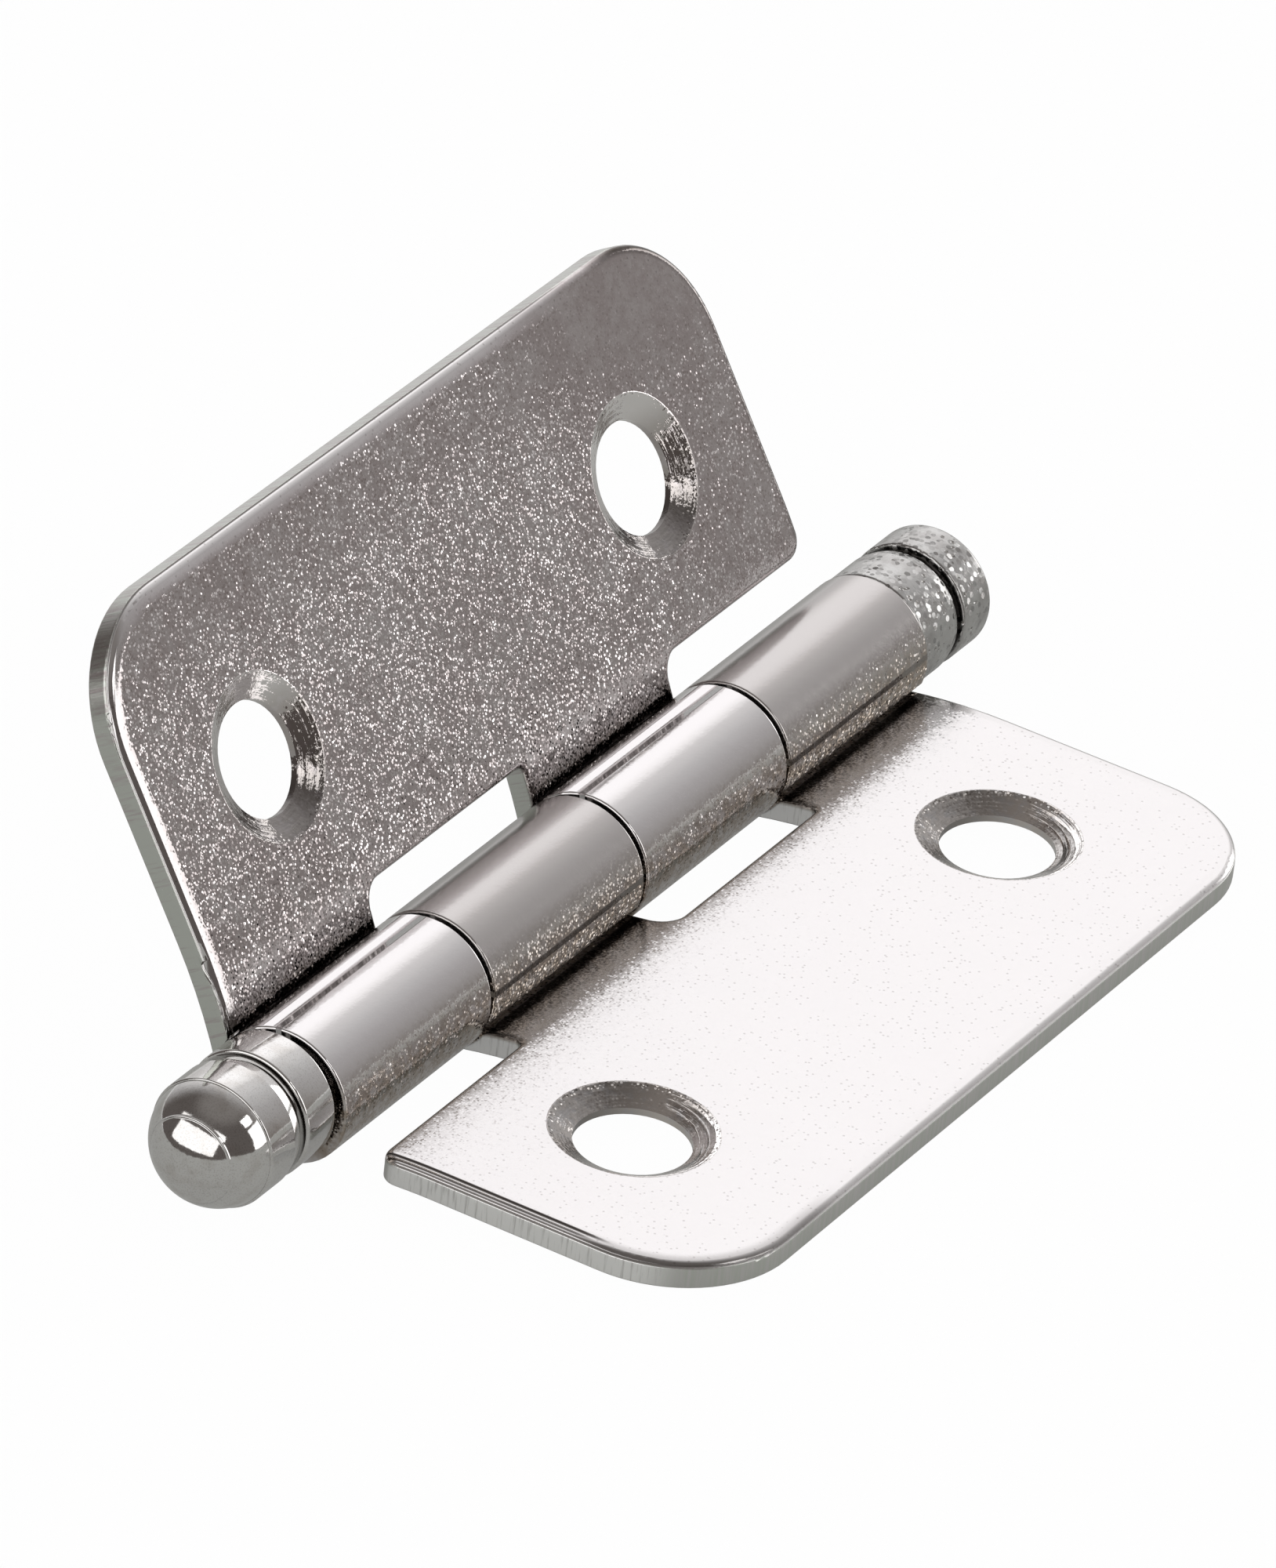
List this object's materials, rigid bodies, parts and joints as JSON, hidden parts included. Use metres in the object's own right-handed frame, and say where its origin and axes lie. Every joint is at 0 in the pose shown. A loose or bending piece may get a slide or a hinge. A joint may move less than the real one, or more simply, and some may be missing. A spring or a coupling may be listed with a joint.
{
  "type": "butt hinge",
  "caption": "Furniture butt hinge of nickel-plated sheet steel: leaves with rounded corners and countersunk holes, knuckles rolled round a pin with a domed and a plain finial.",
  "frame": {"origin": "on the fixed leaf's back face, midway between its two screw holes", "axes": "+X from the pin to the fixed leaf's outer edge, +Y along the pin to the plain rear finial, +Z out of the fixed leaf's front face"},
  "size_m": [0.0288, 0.0518, 0.0173],
  "materials": {
    "leaf_plate": "satin nickel plate with fine bright grain",
    "pin_steel": "plain drawn steel",
    "polished_finial": "polished nickel plate",
    "pitted_finial": "nickel plate with fine pits"
  },
  "bodies": {
    "fixed": {"fixed_leaf": "leaf_plate", "hinge_pin": "pin_steel", "front_finial": "polished_finial", "rear_finial": "pitted_finial"},
    "swing": {"swing_leaf": "leaf_plate"}
  },
  "joints": [
    {"name": "leaf_swing", "type": "hinge", "parent": "fixed", "child": "swing", "pos_m": [-0.01005, 0, 0.00188], "axis": [0, -1, 0], "range_deg": [-125, 168]}
  ]
}
